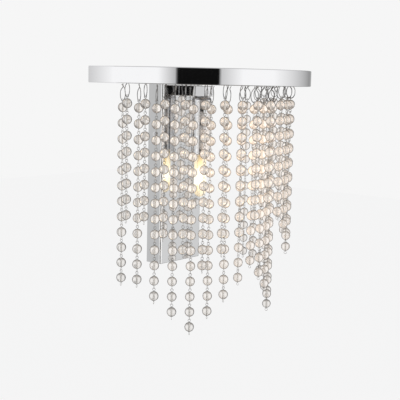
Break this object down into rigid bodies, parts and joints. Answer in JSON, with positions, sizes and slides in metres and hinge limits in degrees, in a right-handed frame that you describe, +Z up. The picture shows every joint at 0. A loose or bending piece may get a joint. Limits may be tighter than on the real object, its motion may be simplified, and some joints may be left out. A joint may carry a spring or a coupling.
{
  "type": "crystal wall sconce",
  "caption": "Wall sconce: a half-round chrome band carries two rows of hanging glass bead strings round one lamp on a chrome tray-shaped cover.",
  "frame": {"origin": "centre of the wall bracket's two slotted holes, on the wall face", "axes": "+Z up, the light stands out from the wall along -Y, +X to the right seen from the room"},
  "size_m": [0.304, 0.195, 0.3285],
  "materials": {
    "chrome": "polished",
    "steel": "zinc plated",
    "crystal": "clear, with wire pins",
    "wire": "bright plated wire",
    "brass": "machined",
    "moulding": "moulded",
    "rubber": "moulded",
    "ceramic": "unglazed",
    "bulb_shell": "clear",
    "lamp_light": "lit"
  },
  "bodies": {
    "fixture": {"wall_bracket": "steel", "cable_grommet": "rubber", "earth_screw": "brass", "terminal_block": "moulding", "terminal_screws": "steel", "cover_screws": "chrome", "back_cover": "chrome", "hook_plate": "steel", "canopy_band": "chrome", "canopy_screws": "steel", "canopy_nuts": "steel", "s_hooks_outer": "wire", "s_hooks_inner": "wire", "lamp_arm": "chrome", "arm_nipple": "brass", "nipple_nuts": "brass", "cup_nipple": "brass", "lamp_cup": "chrome", "holder_bracket": "steel", "holder_rivets": "steel", "lampholder": "ceramic", "bulb_base": "ceramic", "bulb_glass": "bulb_shell", "bulb_core": "lamp_light", "lamp_leads": "moulding"},
    "outer_01": {"bead_string_outer_01": "crystal"},
    "outer_02": {"bead_string_outer_02": "crystal"},
    "outer_03": {"bead_string_outer_03": "crystal"},
    "outer_04": {"bead_string_outer_04": "crystal"},
    "outer_05": {"bead_string_outer_05": "crystal"},
    "outer_06": {"bead_string_outer_06": "crystal"},
    "outer_07": {"bead_string_outer_07": "crystal"},
    "outer_08": {"bead_string_outer_08": "crystal"},
    "outer_09": {"bead_string_outer_09": "crystal"},
    "outer_10": {"bead_string_outer_10": "crystal"},
    "outer_11": {"bead_string_outer_11": "crystal"},
    "outer_12": {"bead_string_outer_12": "crystal"},
    "outer_13": {"bead_string_outer_13": "crystal"},
    "outer_14": {"bead_string_outer_14": "crystal"},
    "outer_15": {"bead_string_outer_15": "crystal"},
    "outer_16": {"bead_string_outer_16": "crystal"},
    "outer_17": {"bead_string_outer_17": "crystal"},
    "inner_01": {"bead_string_inner_01": "crystal"},
    "inner_02": {"bead_string_inner_02": "crystal"},
    "inner_03": {"bead_string_inner_03": "crystal"},
    "inner_04": {"bead_string_inner_04": "crystal"},
    "inner_05": {"bead_string_inner_05": "crystal"},
    "inner_06": {"bead_string_inner_06": "crystal"},
    "inner_07": {"bead_string_inner_07": "crystal"},
    "inner_08": {"bead_string_inner_08": "crystal"},
    "inner_09": {"bead_string_inner_09": "crystal"},
    "inner_10": {"bead_string_inner_10": "crystal"},
    "inner_11": {"bead_string_inner_11": "crystal"},
    "inner_12": {"bead_string_inner_12": "crystal"},
    "inner_13": {"bead_string_inner_13": "crystal"},
    "inner_14": {"bead_string_inner_14": "crystal"},
    "inner_15": {"bead_string_inner_15": "crystal"},
    "inner_16": {"bead_string_inner_16": "crystal"},
    "inner_17": {"bead_string_inner_17": "crystal"}
  },
  "joints": [
    {"name": "outer_01_swing", "type": "hinge", "parent": "fixture", "child": "outer_01", "pos_m": [-0.13922, -0.05615, 0.0508], "axis": [-0.2284, 0.9736, 0], "range_deg": [0, 60]},
    {"name": "outer_02_swing", "type": "hinge", "parent": "fixture", "child": "outer_02", "pos_m": [-0.13183, -0.07891, 0.0508], "axis": [-0.3875, 0.9219, 0], "range_deg": [0, 60]},
    {"name": "outer_03_swing", "type": "hinge", "parent": "fixture", "child": "outer_03", "pos_m": [-0.12074, -0.10012, 0.0508], "axis": [-0.5358, 0.8443, 0], "range_deg": [0, 60]},
    {"name": "outer_04_swing", "type": "hinge", "parent": "fixture", "child": "outer_04", "pos_m": [-0.10627, -0.11919, 0.0508], "axis": [-0.6691, 0.7431, 0], "range_deg": [0, 60]},
    {"name": "outer_05_swing", "type": "hinge", "parent": "fixture", "child": "outer_05", "pos_m": [-0.08882, -0.13557, 0.0508], "axis": [-0.7837, 0.6211, 0], "range_deg": [0, 60]},
    {"name": "outer_06_swing", "type": "hinge", "parent": "fixture", "child": "outer_06", "pos_m": [-0.06889, -0.14881, 0.0508], "axis": [-0.8763, 0.4818, 0], "range_deg": [0, 60]},
    {"name": "outer_07_swing", "type": "hinge", "parent": "fixture", "child": "outer_07", "pos_m": [-0.04703, -0.15855, 0.0508], "axis": [-0.9444, 0.3289, 0], "range_deg": [0, 60]},
    {"name": "outer_08_swing", "type": "hinge", "parent": "fixture", "child": "outer_08", "pos_m": [-0.02385, -0.1645, 0.0508], "axis": [-0.986, 0.1668, 0], "range_deg": [0, 60]},
    {"name": "outer_09_swing", "type": "hinge", "parent": "fixture", "child": "outer_09", "pos_m": [0, -0.1665, 0.0508], "axis": [-1, 0, 0], "range_deg": [0, 60]},
    {"name": "outer_10_swing", "type": "hinge", "parent": "fixture", "child": "outer_10", "pos_m": [0.02385, -0.1645, 0.0508], "axis": [-0.986, -0.1668, 0], "range_deg": [0, 60]},
    {"name": "outer_11_swing", "type": "hinge", "parent": "fixture", "child": "outer_11", "pos_m": [0.04703, -0.15855, 0.0508], "axis": [-0.9444, -0.3289, 0], "range_deg": [0, 60]},
    {"name": "outer_12_swing", "type": "hinge", "parent": "fixture", "child": "outer_12", "pos_m": [0.06889, -0.14881, 0.0508], "axis": [-0.8763, -0.4818, 0], "range_deg": [0, 60]},
    {"name": "outer_13_swing", "type": "hinge", "parent": "fixture", "child": "outer_13", "pos_m": [0.08882, -0.13557, 0.0508], "axis": [-0.7837, -0.6211, 0], "range_deg": [0, 60]},
    {"name": "outer_14_swing", "type": "hinge", "parent": "fixture", "child": "outer_14", "pos_m": [0.10627, -0.11919, 0.0508], "axis": [-0.6691, -0.7431, 0], "range_deg": [0, 60]},
    {"name": "outer_15_swing", "type": "hinge", "parent": "fixture", "child": "outer_15", "pos_m": [0.12074, -0.10012, 0.0508], "axis": [-0.5358, -0.8443, 0], "range_deg": [0, 60]},
    {"name": "outer_16_swing", "type": "hinge", "parent": "fixture", "child": "outer_16", "pos_m": [0.13183, -0.07891, 0.0508], "axis": [-0.3875, -0.9219, 0], "range_deg": [0, 60]},
    {"name": "outer_17_swing", "type": "hinge", "parent": "fixture", "child": "outer_17", "pos_m": [0.13922, -0.05615, 0.0508], "axis": [-0.2284, -0.9736, 0], "range_deg": [0, 60]},
    {"name": "inner_01_swing", "type": "hinge", "parent": "fixture", "child": "inner_01", "pos_m": [-0.12639, -0.0362, 0.0452], "axis": [0.1805, -0.9836, 0], "range_deg": [0, 10]},
    {"name": "inner_02_swing", "type": "hinge", "parent": "fixture", "child": "inner_02", "pos_m": [-0.12048, -0.05769, 0.0452], "axis": [0.3478, -0.9376, 0], "range_deg": [0, 10]},
    {"name": "inner_03_swing", "type": "hinge", "parent": "fixture", "child": "inner_03", "pos_m": [-0.11095, -0.07783, 0.0452], "axis": [0.5045, -0.8634, 0], "range_deg": [0, 10]},
    {"name": "inner_04_swing", "type": "hinge", "parent": "fixture", "child": "inner_04", "pos_m": [-0.09808, -0.09603, 0.0452], "axis": [0.6461, -0.7632, 0], "range_deg": [0, 10]},
    {"name": "inner_05_swing", "type": "hinge", "parent": "fixture", "child": "inner_05", "pos_m": [-0.08225, -0.11172, 0.0452], "axis": [0.7683, -0.6401, 0], "range_deg": [0, 10]},
    {"name": "inner_06_swing", "type": "hinge", "parent": "fixture", "child": "inner_06", "pos_m": [-0.06396, -0.12445, 0.0452], "axis": [0.8673, -0.4977, 0], "range_deg": [0, 10]},
    {"name": "inner_07_swing", "type": "hinge", "parent": "fixture", "child": "inner_07", "pos_m": [-0.04374, -0.13383, 0.0452], "axis": [0.9403, -0.3404, 0], "range_deg": [0, 10]},
    {"name": "inner_08_swing", "type": "hinge", "parent": "fixture", "child": "inner_08", "pos_m": [-0.0222, -0.13957, 0.0452], "axis": [0.985, -0.1728, 0], "range_deg": [0, 10]},
    {"name": "inner_09_swing", "type": "hinge", "parent": "fixture", "child": "inner_09", "pos_m": [0, -0.1415, 0.0452], "axis": [1, 0, 0], "range_deg": [0, 10]},
    {"name": "inner_10_swing", "type": "hinge", "parent": "fixture", "child": "inner_10", "pos_m": [0.0222, -0.13957, 0.0452], "axis": [0.985, 0.1728, 0], "range_deg": [0, 10]},
    {"name": "inner_11_swing", "type": "hinge", "parent": "fixture", "child": "inner_11", "pos_m": [0.04374, -0.13383, 0.0452], "axis": [0.9403, 0.3404, 0], "range_deg": [0, 10]},
    {"name": "inner_12_swing", "type": "hinge", "parent": "fixture", "child": "inner_12", "pos_m": [0.06396, -0.12445, 0.0452], "axis": [0.8673, 0.4977, 0], "range_deg": [0, 10]},
    {"name": "inner_13_swing", "type": "hinge", "parent": "fixture", "child": "inner_13", "pos_m": [0.08225, -0.11172, 0.0452], "axis": [0.7683, 0.6401, 0], "range_deg": [0, 10]},
    {"name": "inner_14_swing", "type": "hinge", "parent": "fixture", "child": "inner_14", "pos_m": [0.09808, -0.09603, 0.0452], "axis": [0.6461, 0.7632, 0], "range_deg": [0, 10]},
    {"name": "inner_15_swing", "type": "hinge", "parent": "fixture", "child": "inner_15", "pos_m": [0.11095, -0.07783, 0.0452], "axis": [0.5045, 0.8634, 0], "range_deg": [0, 10]},
    {"name": "inner_16_swing", "type": "hinge", "parent": "fixture", "child": "inner_16", "pos_m": [0.12048, -0.05769, 0.0452], "axis": [0.3478, 0.9376, 0], "range_deg": [0, 10]},
    {"name": "inner_17_swing", "type": "hinge", "parent": "fixture", "child": "inner_17", "pos_m": [0.12639, -0.0362, 0.0452], "axis": [0.1805, 0.9836, 0], "range_deg": [0, 10]}
  ]
}
